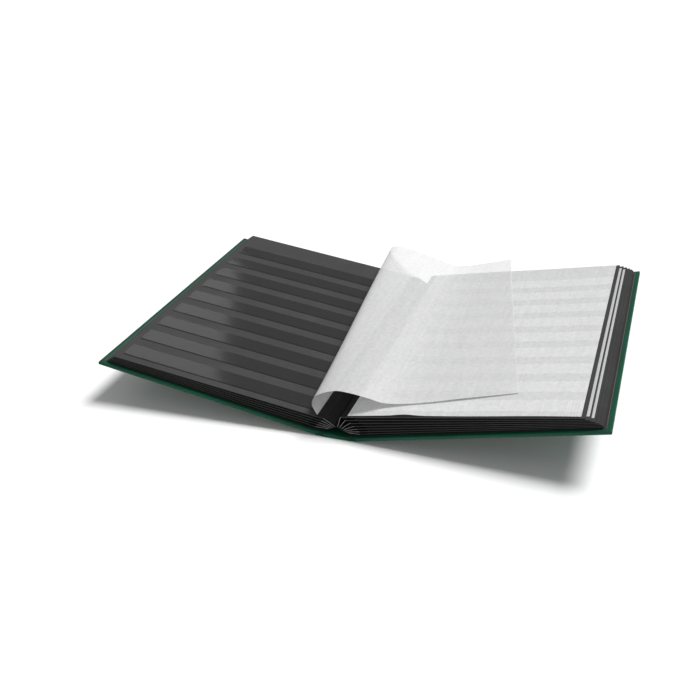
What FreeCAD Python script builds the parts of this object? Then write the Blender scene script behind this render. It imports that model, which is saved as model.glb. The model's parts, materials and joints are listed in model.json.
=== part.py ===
import FreeCAD, Part

import math
import os

os.makedirs("parts", exist_ok=True)

# A stamp stockbook lying open on its spine, both covers raised.
# Frame: X across the open book (front cover towards -X), Y from tail to head, Z up.
# The origin is the middle of the spine's outer face, which the book rests on.
# All sizes are in millimetres and all angles in degrees.

# case
COVER_HEIGHT = 305.0
COVER_REACH = 225.0          # hinge line to fore-edge
SPINE_WIDTH = 25.0
BOARD_THICK = 2.5
CLOTH_THICK = 0.4
HINGE_X = 15.5               # distance of each cover's hinge line from the middle
HINGE_Z = BOARD_THICK / 2 + CLOTH_THICK + 0.15
JOINT_GAP = 2.5              # hinge line to the board's inner edge
FRONT_ANGLE = 10.0           # rise of the front cover above the table
BACK_ANGLE = 12.9
TURN_IN = 4.5                # green margin left round the pastedown
TURN_IN_THICK = 0.3

# leaves
PAGE_HEIGHT = 297.0
PAGE_WIDTH = 213.0
CARD_THICK = 0.5
FRONT_LEAVES = 5
BACK_LEAVES = 7
FRONT_PITCH = (1.7, 0.0)     # spacing of the leaves at the fore-edge, and its growth upwards
BACK_PITCH = (1.1, 0.06)
LOWEST_CLEAR = 1.6           # lowest leaf above its cover at the fore-edge

# clear strips
STRIP_COUNT = 9
STRIP_PITCH = 30.0
STRIP_HEIGHT = 17.5
STRIP_THICK = 0.1
STRIP_FIRST_SEAM = 48.3      # page head to the first seam
STRIP_GUTTER = 11.0
STRIP_INSET = 6.0            # strip end to fore-edge

# glassine sheets and linen
GLASSINE_THICK = 0.05
GLASSINE_LIFT = CARD_THICK / 2 + STRIP_THICK + 0.02
GLASSINE_GUTTER = 6.0        # inner edge of the leaf to the sheet's inner edge
GLASSINE_REACH = 206.0       # inner edge of the leaf to the sheet's fore-edge
SLIPPED_REACH = 211.5        # sheets that have slipped outwards
SLIPPED_RANKS = (1, 2)       # back leaves whose upper sheet has slipped
GLASSINE_INSET = 5.0         # hidden sheets stop short of the leaf's head and tail
OPEN_INSET = 1.0             # the open spread's sheets nearly reach the head and tail
RIGHT_SHEET_GUTTER = 6.5
RIGHT_SHEET_REACH = 209.5
LINEN_THICK = 0.35
LINEN_GAP = 0.4              # a leaf's linen ends this far from the card
BLOCK_BACK_THICK = 0.5
LOOSE_SHEET_THICK = 0.15     # the open spread's sheets, drawn thicker than they are
CURL_TURN = 12.2             # the curled sheet lies turned this much on the page
CURL_CORNER = (152.5, -115.0)    # its free tail corner, along the page and across
CURL_NEAR = (37.5, 19.5)     # where its flat part starts, along the page, tail and head
CURL_LIFT = 1.5              # its height above the page

# rest positions of the leaves' inner edges and of their linen anchors, from the
# leaf beside the open spread (rank 0) to the one beside the cover
FRONT_START = ((-11.5, 16.5), (-20.0, 6.6))
BACK_START = ((4.0, 21.0), (20.5, 6.4))
FRONT_ANCHOR = ((-2.0, 10.2), (-8.4, 6.6))
BACK_ANCHOR = ((0.8, 10.6), (11.2, 5.6))

# section of the block's glued back, and where the endpapers' linen leaves it
BLOCK_BACK_PATH = [(-9.2, 5.4), (-1.6, 9.5), (0.2, 9.7), (11.8, 4.1)]
ENDPAPER_ROOT = {"front": (-9.6, 4.9), "back": (12.3, 3.85)}
ENDPAPER_LAP = (3.5, 9.5)    # where that linen lies on the cover, from the hinge line
ENDPAPER_CLEAR = 0.1

# section of the curl at its tail and head ends
CURL_TAIL = [(-18.5, 19.0), (-22.6, 29.9), (-17.0, 39.5), (-1.4, 45.6), (13.0, 44.5),
             (27.0, 39.5), (40.5, 32.5)]
CURL_HEAD = [(-18.5, 19.0), (-45.0, 48.7), (-37.6, 54.5), (-16.0, 49.3), (0.0, 42.5),
             (12.0, 37.0), (21.0, 31.5)]

JOINT_CLOTH_GAP = 0.1        # the flexing covering ends this far from the board
JOINT_CLOTH_FLAT = 0.2       # it lies flat to this far past the hinge line

HALF_HEIGHT = COVER_HEIGHT / 2
HALF_PAGE = PAGE_HEIGHT / 2
INNER_FACE = BOARD_THICK + CLOTH_THICK + TURN_IN_THICK - HINGE_Z
OUTER_FACE = -HINGE_Z
BOARD_LOW = OUTER_FACE + CLOTH_THICK
BOARD_HIGH = BOARD_LOW + BOARD_THICK


def on_slope(side, start, angle, along, above):
    """A point along a line that rises outwards from start, and above it."""
    c = math.cos(math.radians(angle))
    s = math.sin(math.radians(angle))
    x = start[0] + side * (along * c - above * s)
    z = start[1] + along * s + above * c
    return x, z


def prism(outline, low_y, high_y):
    """Extrude a closed outline of (x, z) points from low_y to high_y."""
    points = [FreeCAD.Vector(x, low_y, z) for x, z in outline]
    wire = Part.makePolygon(points + points[:1])
    solid = Part.Face(wire).extrude(FreeCAD.Vector(0, high_y - low_y, 0))
    return solid


def slab(side, start, angle, along, above, across):
    """A flat plate on a slope: ranges along it, above it and across the book."""
    outline = [
        on_slope(side, start, angle, along[0], above[0]),
        on_slope(side, start, angle, along[1], above[0]),
        on_slope(side, start, angle, along[1], above[1]),
        on_slope(side, start, angle, along[0], above[1]),
    ]
    return prism(outline, across[0], across[1])


def offset_path(path, distance):
    """The path moved sideways by a distance, with mitred corners."""
    moved = []
    for i, point in enumerate(path):
        before = path[max(i - 1, 0)]
        after = path[min(i + 1, len(path) - 1)]
        normals = []
        for a, b in ((before, point), (point, after)):
            length = math.hypot(b[0] - a[0], b[1] - a[1])
            if length > 0:
                normals.append((-(b[1] - a[1]) / length, (b[0] - a[0]) / length))
        nx = sum(n[0] for n in normals) / len(normals)
        nz = sum(n[1] for n in normals) / len(normals)
        stretch = distance / (nx * nx + nz * nz)
        moved.append((point[0] + nx * stretch, point[1] + nz * stretch))
    return moved


def ribbon_outline(path, thick):
    left = offset_path(path, thick / 2)
    right = offset_path(path, -thick / 2)
    return left + right[::-1]


def ribbon(path, thick, low_y, high_y):
    """A thin sheet that follows a path of (x, z) points."""
    return prism(ribbon_outline(path, thick), low_y, high_y)


def between(ends, t):
    return tuple(a + (b - a) * t for a, b in zip(ends[0], ends[1]))


def save(name, solids):
    shape = solids[0] if len(solids) == 1 else Part.makeCompound(solids)
    shape.exportStep("parts/" + name + ".step")


class Stack:
    """One half of the book: its cover and the leaves that lie on it."""

    def __init__(self, name, side, cover_angle, count, pitch, starts, anchors):
        self.name = name
        self.side = side
        self.cover_angle = cover_angle
        self.count = count
        self.pitch = pitch
        self.starts = starts
        self.anchors = anchors
        self.hinge = (side * HINGE_X, HINGE_Z)

    def share(self, rank):
        return rank / (self.count - 1)

    def start(self, rank):
        """Inner edge of a leaf; the back half bows outwards, the front is straight."""
        t = self.share(rank)
        x, z = between(self.starts, t)
        if self.side > 0:
            bowed = math.sin(math.radians(90) * t)
            x = self.starts[0][0] + (self.starts[1][0] - self.starts[0][0]) * bowed
        return x, z

    def anchor(self, rank):
        return between(self.anchors, self.share(rank))

    def angle(self, rank):
        """Slope of a leaf: it meets its place in the stack at the fore-edge."""
        x, z = self.start(rank)
        c = math.cos(math.radians(self.cover_angle))
        s = math.sin(math.radians(self.cover_angle))
        height = (z - HINGE_Z) * c - (self.side * x - HINGE_X) * s - INNER_FACE
        below = self.count - 1 - rank
        at_edge = LOWEST_CLEAR + self.pitch[0] * below + self.pitch[1] * below ** 2
        drop = math.degrees(math.asin((height - at_edge) / PAGE_WIDTH))
        return self.cover_angle - drop

    def leaf_slab(self, rank, along, above, across):
        return slab(self.side, self.start(rank), self.angle(rank), along, above, across)

    def cover_slab(self, along, above, across):
        return slab(self.side, self.hinge, self.cover_angle, along, above, across)


FRONT = Stack("front", -1, FRONT_ANGLE, FRONT_LEAVES, FRONT_PITCH, FRONT_START, FRONT_ANCHOR)
BACK = Stack("back", 1, BACK_ANGLE, BACK_LEAVES, BACK_PITCH, BACK_START, BACK_ANCHOR)


def leaf_number(stack, rank):
    """Leaves count from the front cover: 1 to 5 in front, 6 to 12 behind."""
    if stack is FRONT:
        return FRONT_LEAVES - rank
    return FRONT_LEAVES + 1 + rank


def make_spine():
    half = SPINE_WIDTH / 2
    low = CLOTH_THICK
    high = CLOTH_THICK + BOARD_THICK
    board = prism([(-half, low), (half, low), (half, high), (-half, high)],
                  -HALF_HEIGHT + CLOTH_THICK, HALF_HEIGHT - CLOTH_THICK)
    save("spine_board", [board])
    envelope = prism([(-half, 0), (half, 0), (half, high), (-half, high)],
                     -HALF_HEIGHT, HALF_HEIGHT)
    save("spine_cloth", [envelope.cut(board)])
    lining = prism([(-half, high), (half, high), (half, high + TURN_IN_THICK),
                    (-half, high + TURN_IN_THICK)], -HALF_HEIGHT, HALF_HEIGHT)
    save("spine_lining", [lining])
    save("block_back", [ribbon(BLOCK_BACK_PATH, BLOCK_BACK_THICK, -HALF_PAGE, HALF_PAGE)])


def make_cover(stack):
    inner = JOINT_GAP
    outer = COVER_REACH - CLOTH_THICK
    half = HALF_HEIGHT - CLOTH_THICK
    board = stack.cover_slab((inner, outer), (BOARD_LOW, BOARD_HIGH), (-half, half))
    save(stack.name + "_board", [board])
    envelope = stack.cover_slab((inner, COVER_REACH), (OUTER_FACE, INNER_FACE),
                                (-HALF_HEIGHT, HALF_HEIGHT))
    window = (inner, COVER_REACH - TURN_IN)
    opening = (-HALF_HEIGHT + TURN_IN, HALF_HEIGHT - TURN_IN)
    recess = stack.cover_slab(window, (BOARD_HIGH, INNER_FACE), opening)
    save(stack.name + "_cloth", [envelope.cut(board).cut(recess)])
    save(stack.name + "_pastedown", [recess])


def make_joint_cloth(stack):
    """The strip of covering between the spine and a board, which flexes."""
    middle = CLOTH_THICK / 2
    reach = JOINT_GAP - JOINT_CLOTH_GAP
    along = on_slope(stack.side, stack.hinge, stack.cover_angle, reach, OUTER_FACE + middle)
    bend = (stack.side * (HINGE_X + JOINT_CLOTH_FLAT), middle)
    path = [(stack.side * SPINE_WIDTH / 2, middle), bend, along]
    save(stack.name + "_joint_cloth", [ribbon(path, CLOTH_THICK, -HALF_HEIGHT, HALF_HEIGHT)])


def make_endpaper_hinge(stack):
    """Linen that ties the block's back to the cover's inner face."""
    lift = INNER_FACE + LINEN_THICK / 2 + ENDPAPER_CLEAR
    near, far = [on_slope(stack.side, stack.hinge, stack.cover_angle, reach, lift)
                 for reach in ENDPAPER_LAP]
    path = [ENDPAPER_ROOT[stack.name], near, far]
    save(stack.name + "_endpaper_hinge", [ribbon(path, LINEN_THICK, -HALF_PAGE, HALF_PAGE)])


def make_leaf_hinges(stack):
    """One linen strip from the block's back to the inner edge of each leaf."""
    strips = []
    for rank in range(stack.count):
        start = stack.start(rank)
        anchor = stack.anchor(rank)
        length = math.hypot(start[0] - anchor[0], start[1] - anchor[1])
        end = between((anchor, start), 1 - LINEN_GAP / length)
        strips.append(ribbon([anchor, end], LINEN_THICK, -HALF_PAGE, HALF_PAGE))
    save(stack.name + "_leaf_hinges", strips)


def make_leaf(stack, rank):
    name = "leaf_%02d" % leaf_number(stack, rank)
    half_card = CARD_THICK / 2
    card = stack.leaf_slab(rank, (0, PAGE_WIDTH), (-half_card, half_card), (-HALF_PAGE, HALF_PAGE))
    save(name + "_card", [card])
    strips = []
    for above in ((half_card, half_card + STRIP_THICK), (-half_card - STRIP_THICK, -half_card)):
        for i in range(STRIP_COUNT):
            seam = HALF_PAGE - STRIP_FIRST_SEAM - STRIP_PITCH * i
            across = (seam, seam + STRIP_HEIGHT)
            along = (STRIP_GUTTER, PAGE_WIDTH - STRIP_INSET)
            strips.append(stack.leaf_slab(rank, along, above, across))
    save(name + "_strips", strips)


def make_interleaves(stack, rank):
    """The flat glassine sheets on a leaf, but not those of the open spread."""
    name = "leaf_%02d_interleaves" % leaf_number(stack, rank)
    slipped = stack is BACK and rank in SLIPPED_RANKS
    upper_reach = SLIPPED_REACH if slipped else GLASSINE_REACH
    across = (-HALF_PAGE + GLASSINE_INSET, HALF_PAGE - GLASSINE_INSET)
    upper = (GLASSINE_LIFT, GLASSINE_LIFT + GLASSINE_THICK)
    lower = (-GLASSINE_LIFT - GLASSINE_THICK, -GLASSINE_LIFT)
    sheets = []
    if rank > 0:
        sheets.append(stack.leaf_slab(rank, (GLASSINE_GUTTER, upper_reach), upper, across))
    if rank < stack.count - 1:
        sheets.append(stack.leaf_slab(rank, (GLASSINE_GUTTER, GLASSINE_REACH), lower, across))
    save(name, sheets)


def curled_sheet_flat():
    """The part of the curled sheet that lies askew on the right-hand page."""
    turn_c = math.cos(math.radians(CURL_TURN))
    turn_s = math.sin(math.radians(CURL_TURN))
    height = PAGE_HEIGHT - 2 * OPEN_INSET
    tail_far = CURL_CORNER
    head_far = (tail_far[0] - height * turn_s, tail_far[1] + height * turn_c)
    corners = [tail_far, head_far]
    for far, near_along in ((head_far, CURL_NEAR[1]), (tail_far, CURL_NEAR[0])):
        run = (far[0] - near_along) / turn_c
        corners.append((near_along, far[1] - run * turn_s))
    points = []
    for along, y in corners:
        x, z = on_slope(1, BACK.start(0), BACK.angle(0), along, CURL_LIFT)
        points.append(FreeCAD.Vector(x, y, z))
    face = Part.Face(Part.makePolygon(points + points[:1]))
    up_x, up_z = on_slope(1, (0, 0), BACK.angle(0), 0, LOOSE_SHEET_THICK)
    return face.extrude(FreeCAD.Vector(up_x, 0, up_z))


def curled_sheet_curl():
    """The curl over the gutter, from the glue line, looser towards the head."""
    wires = []
    for y, path in ((-HALF_PAGE + OPEN_INSET, CURL_TAIL), (HALF_PAGE - OPEN_INSET, CURL_HEAD)):
        outline = ribbon_outline(path, LOOSE_SHEET_THICK)
        points = [FreeCAD.Vector(x, y, z) for x, z in outline]
        wires.append(Part.makePolygon(points + points[:1]))
    return Part.makeLoft(wires, True, True)


def make_open_spread():
    """The two glassine sheets of the open spread, one flat and one curled over."""
    low = GLASSINE_LIFT
    right = BACK.leaf_slab(0, (RIGHT_SHEET_GUTTER, RIGHT_SHEET_REACH),
                           (low, low + LOOSE_SHEET_THICK),
                           (-HALF_PAGE + OPEN_INSET, HALF_PAGE - OPEN_INSET))
    save("interleaf_right", [right])
    save("interleaf_left", [curled_sheet_flat()])
    save("interleaf_left_curl", [curled_sheet_curl()])


make_spine()
for stack in (FRONT, BACK):
    make_cover(stack)
    make_joint_cloth(stack)
    make_endpaper_hinge(stack)
    make_leaf_hinges(stack)
    for rank in range(stack.count):
        make_leaf(stack, rank)
        make_interleaves(stack, rank)
make_open_spread()
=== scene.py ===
import math
import json
import bpy
import bmesh
from mathutils import Matrix, Vector


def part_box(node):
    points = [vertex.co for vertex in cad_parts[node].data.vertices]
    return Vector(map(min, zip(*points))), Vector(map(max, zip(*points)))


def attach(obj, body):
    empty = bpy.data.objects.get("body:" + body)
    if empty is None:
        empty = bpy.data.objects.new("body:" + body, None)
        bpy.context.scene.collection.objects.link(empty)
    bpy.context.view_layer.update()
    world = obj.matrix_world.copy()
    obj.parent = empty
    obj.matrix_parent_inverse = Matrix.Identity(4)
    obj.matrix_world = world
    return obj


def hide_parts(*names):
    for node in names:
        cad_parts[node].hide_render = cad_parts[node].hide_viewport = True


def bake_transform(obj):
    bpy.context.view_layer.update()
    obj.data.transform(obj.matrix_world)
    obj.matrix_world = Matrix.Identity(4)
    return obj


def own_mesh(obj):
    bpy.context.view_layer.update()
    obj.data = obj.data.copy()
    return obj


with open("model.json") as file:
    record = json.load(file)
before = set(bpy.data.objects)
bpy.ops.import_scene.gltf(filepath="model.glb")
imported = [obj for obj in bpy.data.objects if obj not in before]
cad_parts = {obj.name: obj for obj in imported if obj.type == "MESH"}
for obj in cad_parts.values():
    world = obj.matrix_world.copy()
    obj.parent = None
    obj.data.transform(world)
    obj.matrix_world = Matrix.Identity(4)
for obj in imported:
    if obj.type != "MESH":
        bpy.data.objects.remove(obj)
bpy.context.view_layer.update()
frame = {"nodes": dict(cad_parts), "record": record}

MM = 0.001
NODES = frame["nodes"]
FRONT_LEAVES = ("leaf_01", "leaf_02", "leaf_03", "leaf_04", "leaf_05")
BACK_LEAVES = ("leaf_06", "leaf_07", "leaf_08", "leaf_09", "leaf_10", "leaf_11", "leaf_12")
OPEN_LEAVES = ("leaf_05", "leaf_06")
STRIP_COUNT = 9
STRIP_PITCH = 30 * MM
STRIP_HEIGHT = 17.5 * MM


# ---------------------------------------------------------------- places from the frame

class Slope:
    """The line a flat CAD plate lies on: its inner edge, its rise and its outward side."""

    def __init__(self, node, side):
        corners = {(round(v.co.x, 6), round(v.co.z, 6)) for v in NODES[node].data.vertices}
        ordered = sorted(corners, key=lambda c: side * c[0])
        inner = [sum(c[i] for c in ordered[:2]) / 2 for i in (0, 1)]
        outer = [sum(c[i] for c in ordered[-2:]) / 2 for i in (0, 1)]
        self.side = side
        self.start = inner
        run = (outer[0] - inner[0], outer[1] - inner[1])
        self.width = math.hypot(*run)
        self.cos = abs(run[0]) / self.width
        self.sin = run[1] / self.width
        self.thick = math.dist(ordered[0], ordered[1])
        low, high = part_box(node)
        self.low_y, self.high_y = low.y, high.y

    def at(self, along, across, above):
        """A point on the plate: outwards along it, across the book, and above it."""
        x = self.start[0] + self.side * (along * self.cos - above * self.sin)
        z = self.start[1] + along * self.sin + above * self.cos
        return Vector((x, across, z))


def leaf_side(leaf):
    return -1 if leaf in FRONT_LEAVES else 1


LEAF = {leaf: Slope(leaf + "_card", leaf_side(leaf)) for leaf in FRONT_LEAVES + BACK_LEAVES}
COVER = {"front": Slope("front_board", -1), "back": Slope("back_board", 1)}


# ---------------------------------------------------------------- camera and lights

CAMERA_DEGREES = (18.65, 28.22, -1.73)      # azimuth, elevation and roll
CAMERA_PLACE = (0.2547, -0.7350, 0.4597)
CAMERA_LENS = 45.02
CAMERA_SENSOR = 36
CAMERA_SHIFT = (-0.0634, -0.0457)

WORLD_AS_LIGHT = 0.28
WORLD_AS_SEEN = 1.1
SUN_STRENGTH = 3.5
SUN_SPREAD_DEGREES = 26
SUN_DIRECTION = (-0.42, -0.30, -1)
# name, place, aim, width and height, watts
AREA_LIGHTS = (
    # its mirror image in the glossy strips ends part-way along the left-hand page
    ("back_panel", (-1.17, 1.4, 1.32), (-1.17, 0, 1.32), (0.9, 0.85), 2.6),
    ("front_fill", (0.3, -1.6, 0.5), (0, 0, 0.03), (1.2, 0.8), 4),
)
FLOOR_HALF_WIDTH = 12


def make_camera():
    """Seen from the tail end, a little to the right, from above."""
    azimuth, elevation, roll = [math.radians(angle) for angle in CAMERA_DEGREES]
    back = Vector((math.sin(azimuth) * math.cos(elevation),
                   -math.cos(azimuth) * math.cos(elevation), math.sin(elevation)))
    right = Vector((math.cos(azimuth), math.sin(azimuth), 0))
    up = back.cross(right)
    turned_right = right * math.cos(roll) + up * math.sin(roll)
    turned_up = back.cross(turned_right)
    data = bpy.data.cameras.new("camera")
    data.lens = CAMERA_LENS
    data.sensor_width = CAMERA_SENSOR
    data.shift_x, data.shift_y = CAMERA_SHIFT
    camera = bpy.data.objects.new("camera", data)
    axes = Matrix((turned_right, turned_up, back)).transposed()
    camera.matrix_world = Matrix.Translation(CAMERA_PLACE) @ axes.to_4x4()
    bpy.context.scene.collection.objects.link(camera)
    bpy.context.scene.camera = camera


def area_light(name, place, aim, size, power):
    data = bpy.data.lights.new(name, "AREA")
    data.shape = "RECTANGLE"
    data.size, data.size_y = size
    data.energy = power
    light = bpy.data.objects.new(name, data)
    direction = Vector(aim) - Vector(place)
    light.rotation_euler = direction.to_track_quat("-Z", "Y").to_euler()
    light.location = place
    bpy.context.scene.collection.objects.link(light)


def make_studio():
    world = bpy.data.worlds.new("studio")
    bpy.context.scene.world = world
    world.use_nodes = True
    background = world.node_tree.nodes["Background"]
    background.inputs["Color"].default_value = (1, 1, 1, 1)
    # the empty studio is white to look at, but lights the album only softly
    seen = world.node_tree.nodes.new("ShaderNodeLightPath")
    strength = between(world.node_tree, seen.outputs["Is Camera Ray"], WORLD_AS_LIGHT, WORLD_AS_SEEN)
    world.node_tree.links.new(strength, background.inputs["Strength"])
    bpy.context.scene.view_settings.view_transform = "Standard"
    key = bpy.data.lights.new("overhead_key", "SUN")
    key.energy = SUN_STRENGTH
    key.angle = math.radians(SUN_SPREAD_DEGREES)
    overhead = bpy.data.objects.new("overhead_key", key)
    overhead.rotation_euler = Vector(SUN_DIRECTION).to_track_quat("-Z", "Y").to_euler()
    bpy.context.scene.collection.objects.link(overhead)
    for light in AREA_LIGHTS:
        area_light(*light)
    mesh = bpy.data.meshes.new("floor")
    shape = bmesh.new()
    bmesh.ops.create_grid(shape, x_segments=1, y_segments=1, size=FLOOR_HALF_WIDTH)
    shape.to_mesh(mesh)
    shape.free()
    floor = bpy.data.objects.new("floor", mesh)
    bpy.context.scene.collection.objects.link(floor)
    mesh.materials.append(plain_floor())


# ---------------------------------------------------------------- materials

def new_material(name):
    material = bpy.data.materials.new(name)
    material.use_nodes = True
    tree = material.node_tree
    return material, tree, tree.nodes["Principled BSDF"]


def set_gloss(shader, roughness, specular):
    shader.inputs["Roughness"].default_value = roughness
    shader.inputs["Specular IOR Level"].default_value = specular


FLOOR_GREY = 0.88


def plain_floor():
    material, _, shader = new_material("pale_floor")
    shader.inputs["Base Color"].default_value = (FLOOR_GREY, FLOOR_GREY, FLOOR_GREY, 1)
    set_gloss(shader, roughness=0.9, specular=0.1)
    return material


def coordinates(tree, scale=(1, 1, 1), turn=0.0):
    """Object coordinates through a Mapping node."""
    source = tree.nodes.new("ShaderNodeTexCoord")
    mapping = tree.nodes.new("ShaderNodeMapping")
    mapping.inputs["Scale"].default_value = scale
    mapping.inputs["Rotation"].default_value = (0, 0, turn)
    tree.links.new(source.outputs["Object"], mapping.inputs["Vector"])
    return mapping.outputs["Vector"]


def noise(tree, vector, scale, detail, roughness=0.55):
    node = tree.nodes.new("ShaderNodeTexNoise")
    node.inputs["Scale"].default_value = scale
    node.inputs["Detail"].default_value = detail
    node.inputs["Roughness"].default_value = roughness
    tree.links.new(vector, node.inputs["Vector"])
    return node.outputs["Fac"]


def ramp(tree, value, stops):
    """A colour ramp over a value: stops are (place, colour)."""
    node = tree.nodes.new("ShaderNodeValToRGB")
    elements = node.color_ramp.elements
    while len(elements) < len(stops):
        elements.new(0.5)
    for element, (place, colour) in zip(elements, stops):
        element.position = place
        element.color = (*colour, 1)
    tree.links.new(value, node.inputs["Fac"])
    return node.outputs["Color"]


def between(tree, value, low, high):
    """A value from 0 to 1 mapped to a range."""
    node = tree.nodes.new("ShaderNodeMapRange")
    node.inputs["To Min"].default_value = low
    node.inputs["To Max"].default_value = high
    tree.links.new(value, node.inputs["Value"])
    return node.outputs["Result"]


def mathed(tree, operation, first, second):
    node = tree.nodes.new("ShaderNodeMath")
    node.operation = operation
    for socket, value in zip(node.inputs, (first, second)):
        if isinstance(value, (int, float)):
            socket.default_value = value
        else:
            tree.links.new(value, socket)
    return node.outputs["Value"]


def weighted(tree, first, first_share, second, second_share):
    """The sum of two values, each times its share."""
    return mathed(tree, "ADD", mathed(tree, "MULTIPLY", first, first_share),
                  mathed(tree, "MULTIPLY", second, second_share))


def bumped(tree, shader, height, distance, strength):
    node = tree.nodes.new("ShaderNodeBump")
    node.inputs["Strength"].default_value = strength
    node.inputs["Distance"].default_value = distance
    tree.links.new(height, node.inputs["Height"])
    tree.links.new(node.outputs["Normal"], shader.inputs["Normal"])


GREEN_DARK = (0.0006, 0.036, 0.018)
GREEN_LIGHT = (0.0015, 0.076, 0.040)
GRAIN_CELLS = 1500          # the Voronoi scale of the pressed grain
GRAIN_DEPTH = 0.1 * MM


def green_covering():
    """Bookcloth-backed paper with a fine pressed grain."""
    material, tree, shader = new_material("green_grained_covering")
    place = coordinates(tree)
    cells = tree.nodes.new("ShaderNodeTexVoronoi")
    cells.feature = "SMOOTH_F1"
    cells.inputs["Scale"].default_value = GRAIN_CELLS
    cells.inputs["Smoothness"].default_value = 0.6
    tree.links.new(place, cells.inputs["Vector"])
    grain = mathed(tree, "ADD", cells.outputs["Distance"], noise(tree, place, 700, 4))
    tint = weighted(tree, noise(tree, place, 18, 4), 0.6, cells.outputs["Distance"], 0.4)
    colour = ramp(tree, tint, [(0.3, GREEN_DARK), (0.75, GREEN_LIGHT)])
    tree.links.new(colour, shader.inputs["Base Color"])
    tree.links.new(between(tree, grain, 0.34, 0.55), shader.inputs["Roughness"])
    shader.inputs["Specular IOR Level"].default_value = 0.22
    bumped(tree, shader, grain, GRAIN_DEPTH, 0.4)
    return material


def fibrous(name, dark, light, rough, fibre_scale, bump):
    """A surface flecked with fibres: card, board and paper, and the dark welds of the strips."""
    material, tree, shader = new_material(name)
    place = coordinates(tree)
    fibres = noise(tree, coordinates(tree, (1, 0.25, 1), 0.5), fibre_scale, 5, 0.7)
    clouds = noise(tree, place, 30, 3)
    tint = weighted(tree, fibres, 0.7, clouds, 0.3)
    colour = ramp(tree, tint, [(0.35, dark), (0.65, light)])
    tree.links.new(colour, shader.inputs["Base Color"])
    tree.links.new(between(tree, fibres, rough - 0.06, rough + 0.06), shader.inputs["Roughness"])
    shader.inputs["Specular IOR Level"].default_value = 0.2
    bumped(tree, shader, fibres, bump, 0.5)
    return material


WAVE_SCALE = 0.314          # the Wave texture's scale times the length of one wave
THREAD_PITCH = 0.45 * MM
THREAD_DEPTH = 0.08 * MM


def weave(tree, pitch):
    """Over-and-under threads from two crossed waves, as a height."""
    heights = []
    for direction in ("X", "Y"):
        wave = tree.nodes.new("ShaderNodeTexWave")
        wave.wave_type = "BANDS"
        wave.bands_direction = direction
        wave.inputs["Scale"].default_value = WAVE_SCALE / pitch
        wave.inputs["Distortion"].default_value = 0.6
        wave.inputs["Detail"].default_value = 1.0
        tree.links.new(coordinates(tree), wave.inputs["Vector"])
        heights.append(wave.outputs["Fac"])
    return mathed(tree, "MULTIPLY", heights[0], heights[1])


def black_linen():
    material, tree, shader = new_material("black_linen_tape")
    threads = weave(tree, THREAD_PITCH)
    colour = ramp(tree, threads, [(0.0, (0.003, 0.003, 0.003)), (1.0, (0.018, 0.018, 0.0185))])
    tree.links.new(colour, shader.inputs["Base Color"])
    set_gloss(shader, roughness=0.72, specular=0.2)
    bumped(tree, shader, threads, THREAD_DEPTH, 0.6)
    return material


def clear_film(name, tint, alpha, rough):
    """Clear glossy film over black card."""
    material, tree, shader = new_material(name)
    smear = noise(tree, coordinates(tree, (0.4, 3, 1)), 25, 3)
    colour = ramp(tree, smear, [(0.2, tuple(0.8 * c for c in tint)), (0.8, tint)])
    tree.links.new(colour, shader.inputs["Base Color"])
    shader.inputs["Alpha"].default_value = alpha
    set_gloss(shader, roughness=rough, specular=1.0)
    return material


GLASSINE_SHADES = ((0.64, 0.645, 0.645), (0.84, 0.845, 0.84))
RIPPLE_DEPTH = 0.12 * MM
ROW_BLUR = 0.7 * MM         # half the width over which a row's edge fades


def film_rows(tree):
    """1 over the clear strips of the right-hand page, 0 over the bare card between them: where the
    glassine above gets its painted light and shade.
    """
    rows_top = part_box("leaf_06_strips")[1].y
    split = tree.nodes.new("ShaderNodeSeparateXYZ")
    tree.links.new(coordinates(tree), split.inputs["Vector"])
    down = mathed(tree, "SUBTRACT", rows_top, split.outputs["Y"])
    within = mathed(tree, "MODULO", down, STRIP_PITCH)
    from_middle = mathed(tree, "ABSOLUTE", mathed(tree, "SUBTRACT", within, STRIP_HEIGHT / 2), 0)
    edge = tree.nodes.new("ShaderNodeMapRange")
    edge.interpolation_type = "SMOOTHSTEP"
    edge.inputs["From Min"].default_value = STRIP_HEIGHT / 2 + ROW_BLUR
    edge.inputs["From Max"].default_value = STRIP_HEIGHT / 2 - ROW_BLUR
    tree.links.new(from_middle, edge.inputs["Value"])
    return mathed(tree, "MULTIPLY", edge.outputs["Result"], mathed(tree, "GREATER_THAN", down, 0))


def glassine(name, alpha, painted_row_shade, light):
    """Thin glazed paper, cloudy and a little see-through, finely rippled from head to tail. Its colour
    is scaled down as painted shade, and can carry painted light and shade in bands over the strip rows
    beneath.
    """
    material, tree, shader = new_material(name)
    place = coordinates(tree)
    clouds = noise(tree, place, 260, 5, 0.65)
    fibres = noise(tree, coordinates(tree, (1, 0.15, 1)), 1400, 3, 0.7)
    ripples = noise(tree, coordinates(tree, (1, 0.06, 0.2)), 380, 2, 0.5)
    tint = weighted(tree, clouds, 0.45, mathed(tree, "ADD", fibres, ripples), 0.275)
    # painted light and shade: the glassine is made lighter over the clear strip rows beneath and darker
    # over the bare card between them
    if painted_row_shade:
        rows = between(tree, film_rows(tree), -painted_row_shade, painted_row_shade)
        tint = mathed(tree, "ADD", tint, rows)
    # light scales the paper's colour down as painted shade: lower for the curled sheet than for the flat
    # right-hand sheet
    dark, pale = [tuple(light * c for c in shade) for shade in GLASSINE_SHADES]
    colour = ramp(tree, tint, [(0.25, dark), (0.75, pale)])
    tree.links.new(colour, shader.inputs["Base Color"])
    tree.links.new(between(tree, clouds, alpha - 0.06, alpha + 0.06), shader.inputs["Alpha"])
    set_gloss(shader, roughness=0.5, specular=0.3)
    surface = mathed(tree, "ADD", ripples, mathed(tree, "MULTIPLY", fibres, 0.3))
    bumped(tree, shader, surface, RIPPLE_DEPTH, 0.5)
    return material


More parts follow.
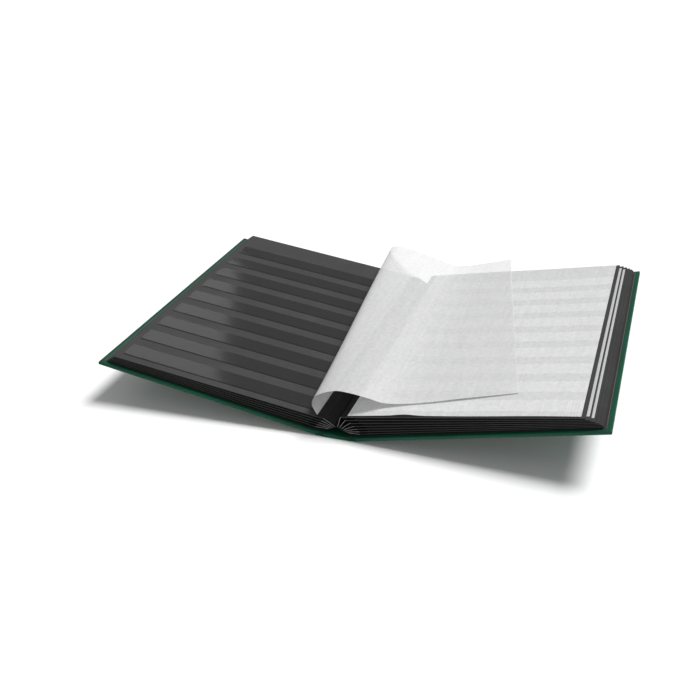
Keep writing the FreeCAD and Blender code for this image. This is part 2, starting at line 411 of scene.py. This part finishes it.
MATERIALS = {
    "green_covering": green_covering(),
    "black_card": fibrous("black_card", (0.032, 0.032, 0.0325), (0.052, 0.052, 0.053),
                          rough=0.68, fibre_scale=1600, bump=0.03 * MM),
    "black_paper": fibrous("black_endpaper", (0.022, 0.021, 0.022), (0.036, 0.034, 0.035),
                           rough=0.6, fibre_scale=1300, bump=0.03 * MM),
    "black_linen": black_linen(),
    "clear_film": clear_film("clear_strip_film", (0.016, 0.016, 0.0165), alpha=0.5, rough=0.1),
    # the curled sheet's paper is painted darker, light 0.86: painted shade on the roll
    "glassine": glassine("glassine_sheet", alpha=0.75, painted_row_shade=0, light=0.86),
    "greyboard": fibrous("pressed_greyboard", (0.12, 0.115, 0.10), (0.2, 0.19, 0.17),
                         rough=0.85, fibre_scale=900, bump=0.05 * MM),
}
# lit and shaded copies of the same paper: the right-hand sheet at full light, the flat end of the curled
# sheet painted darker at 0.9
OVER_ROWS = glassine("glassine_over_rows", alpha=0.78, painted_row_shade=0.09, light=1)
OVER_SHEET = glassine("glassine_over_sheet", alpha=0.74, painted_row_shade=0.03, light=0.9)
# a paler purplish finish for the narrow strip along the endpaper's edge
PALE_STRIP_FINISH = fibrous("pale_endpaper_strip", (0.10, 0.075, 0.08), (0.17, 0.13, 0.14),
                     rough=0.8, fibre_scale=1500, bump=0.02 * MM)
SEAM = fibrous("welded_seam", (0.002, 0.002, 0.002), (0.005, 0.005, 0.005),
               rough=0.45, fibre_scale=1500, bump=0.01 * MM)
CORE = fibrous("white_hinge_core", (0.28, 0.28, 0.275), (0.48, 0.48, 0.47),
               rough=0.7, fibre_scale=1500, bump=0.02 * MM)


# ---------------------------------------------------------------- making pieces

def piece_from(name, shape, slot_name, material=None):
    """Turn a bmesh into a smooth-shaded piece, in its slot's material or in one given."""
    mesh = bpy.data.meshes.new(name)
    shape.to_mesh(mesh)
    shape.free()
    mesh.shade_smooth()
    mesh.materials.append(material or MATERIALS[slot_name])
    piece = bpy.data.objects.new(name, mesh)
    bpy.context.scene.collection.objects.link(piece)
    return piece


def thicken(piece, thick):
    """Give a sheet its thickness, half to each side."""
    modifier = piece.modifiers.new("thickness", "SOLIDIFY")
    modifier.thickness = thick
    modifier.offset = 0


def gather(into, shape):
    """Add one bmesh to another that gathers several, and free it."""
    carried = bpy.data.meshes.new("carried")
    shape.to_mesh(carried)
    into.from_mesh(carried)
    shape.free()
    bpy.data.meshes.remove(carried)


def rounded_slab(along, across, above, cuts, radius, place):
    """A bevelled box over three ranges, cut into cells and laid out by a place function."""
    shape = bmesh.new()
    bmesh.ops.create_cube(shape, size=1)
    sizes = [high - low for low, high in (along, across, above)]
    middle = [(high + low) / 2 for low, high in (along, across, above)]
    bmesh.ops.scale(shape, vec=sizes, verts=shape.verts)
    bmesh.ops.bevel(shape, geom=shape.edges[:], offset=radius, segments=3, profile=0.5,
                    affect="EDGES", material=-1)
    for axis, count in enumerate(cuts):
        for i in range(1, count):
            spot = Vector((0, 0, 0))
            spot[axis] = sizes[axis] * (i / count - 0.5)
            normal = Vector((0, 0, 0))
            normal[axis] = 1
            bmesh.ops.bisect_plane(shape, geom=shape.verts[:] + shape.edges[:] + shape.faces[:],
                                   plane_co=spot, plane_no=normal)
    bmesh.ops.translate(shape, vec=middle, verts=shape.verts)
    for vertex in shape.verts:
        vertex.co = place(*vertex.co)
    bmesh.ops.recalc_face_normals(shape, faces=shape.faces)
    return shape


def sheet_grid(columns, rows, place):
    """A grid over the unit square, laid out by place(u, v)."""
    shape = bmesh.new()
    bmesh.ops.create_grid(shape, x_segments=columns, y_segments=rows, size=0.5)
    for vertex in shape.verts:
        vertex.co = place(vertex.co.x + 0.5, vertex.co.y + 0.5)
    bmesh.ops.recalc_face_normals(shape, faces=shape.faces)
    return shape


def smooth_curve(points, t):
    """A point on the curve through points, where t counts from one point to the next."""
    last = len(points) - 1
    i = min(int(t), last - 1)
    s = t - i
    before = points[i - 1] if i > 0 else 2 * points[0] - points[1]
    after = points[i + 2] if i + 2 <= last else 2 * points[last] - points[last - 1]
    a, b = points[i], points[i + 1]
    return 0.5 * (2 * a + (b - before) * s + (2 * before - 5 * a + 4 * b - after) * s * s
                  + (3 * a - before - 3 * b + after) * s ** 3)


# ---------------------------------------------------------------- case

COVER_OVERHANG = 0.4 * MM   # how far the covering stands out round the board
COVER_RISE = 0.3 * MM       # and above its inner face
COVER_ROUND = 0.9 * MM
TURN_IN = 4.5 * MM          # green left showing round the endpaper
ENDPAPER_RISE = 0.42 * MM
ENDPAPER_ROUND = 0.1 * MM
CASE_CELLS = (24, 24, 1)    # along, across and through


def make_cover(name):
    """The covered board, rounded at its edges, and the paper pasted inside it."""
    body = name + "_cover"
    slope = COVER[name]
    half = slope.thick / 2
    low_y, high_y = slope.low_y - COVER_OVERHANG, slope.high_y + COVER_OVERHANG
    width = slope.width + COVER_OVERHANG
    cloth = rounded_slab((0, width), (low_y, high_y), (-half - COVER_OVERHANG, half + COVER_RISE),
                         CASE_CELLS, COVER_ROUND, slope.at)
    piece = piece_from(name + "_covering", cloth, "green_covering")
    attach(piece, body)
    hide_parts(name + "_cloth")

    end = width - TURN_IN
    across = (low_y + TURN_IN, high_y - TURN_IN)
    paper = rounded_slab((0.2 * MM, end), across, (half, half + ENDPAPER_RISE),
                         CASE_CELLS, ENDPAPER_ROUND, slope.at)
    piece = piece_from(name + "_endpaper", paper, "black_paper")
    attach(piece, body)
    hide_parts(name + "_pastedown")

    # a narrow paler purplish strip laid along the endpaper's edge
    edge_strip = rounded_slab((end - 0.25 * MM, end + 0.2 * MM), across,
                            (half + 0.1 * MM, half + 0.46 * MM), (1, 24, 1), 0.05 * MM, slope.at)
    piece = piece_from(name + "_endpaper_edge", edge_strip, "black_paper", PALE_STRIP_FINISH)
    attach(piece, body)


def make_spine():
    low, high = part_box("spine_cloth")
    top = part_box("spine_lining")[1].z
    cloth = rounded_slab((low.x, high.x), (low.y, high.y), (low.z, top),
                         (6, 24, 1), 0.7 * MM, lambda x, y, z: Vector((x, y, z)))
    piece = piece_from("spine_covering", cloth, "green_covering")
    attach(piece, "spine")
    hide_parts("spine_cloth", "spine_lining")


JOINT_LAP = 0.8 * MM        # how far the joint reaches into the spine's covering
JOINT_THICK = 0.4 * MM
JOINT_FLOOR = 0.2 * MM      # the lowest a joint may lie


def make_joint(name):
    """The covering between spine and board, outer face and lining, in a shallow groove."""
    slope = COVER[name]
    low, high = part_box(name + "_joint_cloth")
    spine_edge = slope.side * (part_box("spine_cloth")[1].x - JOINT_LAP)
    # each layer: its height on the board, its height at the spine and how far it dips between
    layers = {"joint_covering": (-slope.thick / 2 - 0.2 * MM, 0.22 * MM, -0.5 * MM),
              "joint_lining": (slope.thick / 2 + 0.1 * MM, 2.95 * MM, 0.9 * MM)}
    for part, (height, lift, dip) in layers.items():
        board_edge = slope.at(1.0 * MM, 0, height)
        groove_x = spine_edge * 0.55 + board_edge.x * 0.45
        groove_z = (lift * 0.6 + board_edge.z * 0.4) - dip
        points = [Vector((spine_edge, 0, lift)), Vector((groove_x, 0, groove_z)),
                  Vector((board_edge.x, 0, board_edge.z))]

        def place(u, v):
            spot = smooth_curve(points, u * (len(points) - 1))
            return Vector((spot.x, low.y + (high.y - low.y) * v, max(spot.z, JOINT_FLOOR)))

        shape = sheet_grid(14, 30, place)
        piece = piece_from(name + "_" + part, shape, "green_covering")
        thicken(piece, JOINT_THICK)
        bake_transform(piece)
        if part == "joint_covering":
            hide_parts(name + "_joint_cloth")


# ---------------------------------------------------------------- leaves

STRIP_MARGIN = 6 * MM       # bare card between a strip's end and the fore-edge
FILM_LIFT = 0.12 * MM       # how far the film lies above the card
SEAM_BELOW, SEAM_ABOVE = 1.1 * MM, 0.1 * MM
SEAM_SUNK, SEAM_RISE = 0.02 * MM, 0.18 * MM
SEAM_ROUND = 0.07 * MM


def make_strips(leaf):
    """Nine clear strips on each face, welded at the tail edge and free at the head edge."""
    slope = LEAF[leaf]
    node_low, node_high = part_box(leaf + "_strips")
    along_low = abs(node_low.x if slope.side > 0 else node_high.x) - abs(slope.start[0])
    first = along_low / slope.cos
    last = slope.width - STRIP_MARGIN
    half = slope.thick / 2
    top_seam = node_high.y - STRIP_HEIGHT
    films = bmesh.new()
    seams = bmesh.new()
    for face in (1, -1):
        for i in range(STRIP_COUNT):
            seam = top_seam - STRIP_PITCH * i
            ripple = 0.4 + 0.25 * math.sin(2.1 * i + face)

            def place(u, v):
                along = first + (last - first) * u
                belly = math.sin(math.pi * min(v * 1.25, 1)) * 0.04 * MM
                wave = ripple * 0.02 * MM * math.sin(9 * u + 1.7 * i) * v
                above = half + FILM_LIFT + belly + wave
                return slope.at(along, seam + STRIP_HEIGHT * v, face * above)

            gather(films, sheet_grid(40, 8, place))

            def place_seam(along, across, above):
                return slope.at(along, across, face * above)

            gather(seams, rounded_slab((first, last), (seam - SEAM_BELOW, seam + SEAM_ABOVE),
                                       (half - SEAM_SUNK, half + SEAM_RISE),
                                       (20, 1, 1), SEAM_ROUND, place_seam))
    piece = piece_from(leaf + "_clear_strips", films, "clear_film")
    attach(piece, leaf)
    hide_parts(leaf + "_strips")
    piece = piece_from(leaf + "_seams", seams, "clear_film", SEAM)
    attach(piece, leaf)


# each layer of a leaf's hinge, in mm: height above the middle, thickness, overhang at each end
HINGE_LAYERS = {
    "linen_upper": (0.14, 0.1, 0),
    "core": (0, 0.22, 0.12),
    "linen_lower": (-0.14, 0.1, 0),
}
HINGE_REACH = 2.6           # how far along its four points the linen is drawn
TAPE_WIDTH = (0.2 * MM, 8.5 * MM)
TAPE_SUNK, TAPE_RISE = 0.02 * MM, 0.13 * MM


def make_hinge(leaf, anchor):
    """Linen round a white core, from the block's back to a leaf, and tape on its inner margin."""
    slope = LEAF[leaf]
    side = slope.side
    start = Vector((slope.start[0], 0, slope.start[1]))
    root = Vector((anchor[0], 0, anchor[1]))
    bend = root.lerp(start, 0.5) + Vector((0, 0, 0.25 * MM))
    points = [root, bend, start, slope.at(1.5 * MM, 0, 0)]
    low_y, high_y = slope.low_y, slope.high_y
    for layer, (lift, thick, overhang) in HINGE_LAYERS.items():

        def place(u, v):
            spot = smooth_curve(points, u * HINGE_REACH)
            ahead = smooth_curve(points, min(u * HINGE_REACH + 0.05, 3))
            way = (ahead - spot).normalized()
            normal = Vector((-side * way.z, 0, side * way.x))
            spot = spot + normal * lift * MM
            length = high_y - low_y + 2 * overhang * MM
            return Vector((spot.x, low_y - overhang * MM + length * v, spot.z))

        shape = sheet_grid(8, 24, place)
        finish = CORE if layer == "core" else MATERIALS["black_linen"]
        piece = piece_from(leaf + "_hinge_" + layer, shape, "black_linen", finish)
        thicken(piece, thick * MM)
        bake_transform(piece)
        if layer == "core" and leaf in OPEN_LEAVES:
            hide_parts(("front" if side < 0 else "back") + "_leaf_hinges")

    tape = bmesh.new()
    half = slope.thick / 2
    for face in (1, -1):
        gather(tape, rounded_slab(TAPE_WIDTH, (low_y, high_y), (half - TAPE_SUNK, half + TAPE_RISE),
                                  (4, 24, 1), 0.05 * MM,
                                  lambda along, across, above: slope.at(along, across, face * above)))
    piece = piece_from(leaf + "_margin_tape", tape, "black_linen")
    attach(piece, leaf)


def hinge_anchors(leaves, first, last):
    """Where each leaf's linen leaves the block's back, from the open spread outwards."""
    gaps = len(leaves) - 1
    return {leaf: [near + (far - near) * i / gaps for near, far in zip(first, last)]
            for i, leaf in enumerate(leaves)}


def make_hinges():
    front = hinge_anchors(FRONT_LEAVES[::-1], (-2.0 * MM, 10.2 * MM), (-8.4 * MM, 6.6 * MM))
    back = hinge_anchors(BACK_LEAVES, (0.8 * MM, 10.6 * MM), (11.2 * MM, 5.6 * MM))
    for leaf, anchor in {**front, **back}.items():
        make_hinge(leaf, anchor)


ENDPAPER_LINEN_THICK = 0.25 * MM


def make_endpaper_hinge(name):
    """Linen from the block's back down to the pasted-down endpaper."""
    slope = COVER[name]
    side = slope.side
    low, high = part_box(name + "_endpaper_hinge")
    root = Vector((low.x if side > 0 else high.x, 0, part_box("block_back")[0].z + 0.6 * MM))
    over = slope.thick / 2 + 0.62 * MM
    points = [root, slope.at(1.5 * MM, 0, over + 0.2 * MM), slope.at(7 * MM, 0, over - 0.05 * MM),
              slope.at(16 * MM, 0, over - 0.08 * MM)]

    def place(u, v):
        spot = smooth_curve(points, u * 3)
        return Vector((spot.x, low.y + (high.y - low.y) * v, spot.z))

    piece = piece_from(name + "_endpaper_linen", sheet_grid(16, 24, place), "black_linen")
    thicken(piece, ENDPAPER_LINEN_THICK)
    slope.at(3 * MM, 0, over)
    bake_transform(piece)
    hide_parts(name + "_endpaper_hinge")


BLOCK_BACK_THICK = 0.5 * MM


def make_block_back():
    """The glued back of the leaf block, a shallow ridge over the hollow spine."""
    low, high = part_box("block_back")
    points = [Vector((low.x, 0, low.z + 1.3 * MM)), Vector((-4.6 * MM, 0, 7.9 * MM)),
              Vector((-0.4 * MM, 0, high.z - 0.3 * MM)), Vector((5.5 * MM, 0, 7.4 * MM)),
              Vector((high.x, 0, low.z + 0.4 * MM))]

    def place(u, v):
        spot = smooth_curve(points, u * 4)
        return Vector((spot.x, low.y + (high.y - low.y) * v, spot.z))

    piece = piece_from("glued_block_back", sheet_grid(20, 24, place), "black_linen")
    thicken(piece, BLOCK_BACK_THICK)
    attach(piece, "spine")
    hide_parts("block_back")


# ---------------------------------------------------------------- glassine of the open spread

def points_mm(rows):
    return [Vector(row) * MM for row in rows]


CURL_TAIL = points_mm([
    (-18.5, -147.5, 18.9), (-23.0, -147.3, 29.9), (-17.5, -146.5, 39.3), (-1.5, -145.0, 45.6),
    (13.0, -143.0, 44.3), (27.0, -139.5, 39.6), (40.5, -135.0, 34.0),
    (60.0, -131.5, 34.6), (82.0, -127.5, 38.0), (106.0, -122.5, 42.4), (153.5, -113.0, 50.4)])
CURL_HEAD = points_mm([
    (-18.5, 147.5, 18.9), (-44.0, 147.8, 45.0), (-36.5, 148.5, 54.3), (-1.5, 152.0, 45.2),
    (13.0, 155.5, 38.6), (22.0, 158.0, 34.8), (32.0, 160.5, 32.2),
    (47.0, 164.5, 32.6), (60.0, 167.5, 34.8), (74.0, 170.5, 37.6), (91.0, 174.0, 40.8)])
CURL_TOP, CURL_FOOT = 3, 6      # where the curl's parts meet, counted in curve points
FINE_WAVES = 2500               # radians per metre along the flutter of a sheet's tail edge
TAIL_BAND = 0.12                # share of the curled sheet's length over which its tail flutters
FLUTTER = 0.09                  # these three in mm
SAG = 0.5
ROLL = 0.5
SHEET_ROWS = 110


def curl_surface(first, last):
    """Straight lines from the tail curve to the head curve, with a slight flutter."""
    def place(u, v):
        t = first + (last - first) * u
        spot = smooth_curve(CURL_TAIL, t).lerp(smooth_curve(CURL_HEAD, t), v)
        free = min(max((t - CURL_FOOT) / 2, 0), 1)
        edge = max(0, 1 - v / TAIL_BAND)
        uneven = 0.6 + 0.4 * math.sin(spot.x * 170)
        flutter = FLUTTER * uneven * math.sin(spot.x * FINE_WAVES + 5 * v) * edge * (0.35 + 0.65 * free)
        sag = -SAG * math.sin(math.pi * v) * free
        roll = math.sin(math.pi * min(t / 3, 1)) * math.sin(2 * math.pi * v) * ROLL
        return spot + Vector((roll, 0, flutter + sag)) * MM
    return place


def make_curled_sheet():
    total = len(CURL_TAIL) - 1
    parts = (("interleaf_curl_left", 0, CURL_TOP, 60), ("interleaf_curl_right", CURL_TOP, CURL_FOOT, 80),
             ("interleaf_curled_flat", CURL_FOOT, total, 260))
    pieces = []
    for name, first, last, columns in parts:
        shape = sheet_grid(columns, SHEET_ROWS, curl_surface(first, last))
        pieces.append(piece_from(name, shape, "glassine", OVER_SHEET if first == CURL_FOOT else None))
    left, right, flat = pieces
    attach(left, "spine")
    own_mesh(left)
    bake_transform(right)
    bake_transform(flat)
    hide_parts("interleaf_left_curl")
    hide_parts("interleaf_left")


RIGHT_SHEET_SPAN = (6.5 * MM, 209.5 * MM)       # along the page, from its inner edge


def make_right_sheet():
    """The flat sheet on the right-hand page, cockled along its tail edge."""
    slope = LEAF["leaf_06"]
    low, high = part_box("interleaf_right")
    first, last = RIGHT_SHEET_SPAN
    page_top = slope.thick / 2

    def place(u, v):
        along = first + (last - first) * u
        across = low.y + (high.y - low.y) * v
        tail = max(0, 1 - v / 0.13)
        uneven = 0.55 + 0.45 * math.sin(along * 61 + 1.1)
        fine = 0.10 * uneven * math.sin(along * FINE_WAVES + 2.3 * math.sin(along * 75)) * tail
        hump = 1.2 * math.exp(-((along - 60 * MM) / (11 * MM)) ** 2) * math.exp(-v / 0.035)
        broad = 0.5 * (1 + math.sin(along * 42 + 5 * v)) * (1 - abs(2 * u - 1) ** 4)
        lift = page_top + (0.55 + fine * 0.9 + tail * 0.35 + hump + broad * 0.5) * MM
        return slope.at(along, across, max(lift, page_top + 0.3 * MM))

    shape = sheet_grid(420, SHEET_ROWS, place)
    piece = piece_from("interleaf_right_sheet", shape, "glassine", OVER_ROWS)
    slope.at(first, 0, 0)
    slope.at(first + 6 * MM, 0, 0)
    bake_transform(piece)
    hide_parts("interleaf_right")


# ---------------------------------------------------------------- the album

def dress_cad_nodes():
    slots = {entry["node"]: entry["material_slot"] for entry in frame["record"]["subparts"]}
    for name, node in NODES.items():
        node.data.materials.clear()
        node.data.materials.append(MATERIALS[slots[name]])


dress_cad_nodes()
make_camera()
make_studio()
for cover in COVER:
    make_cover(cover)
    make_joint(cover)
    make_endpaper_hinge(cover)
make_spine()
make_block_back()
make_hinges()
for open_leaf in OPEN_LEAVES:
    make_strips(open_leaf)
make_curled_sheet()
make_right_sheet()
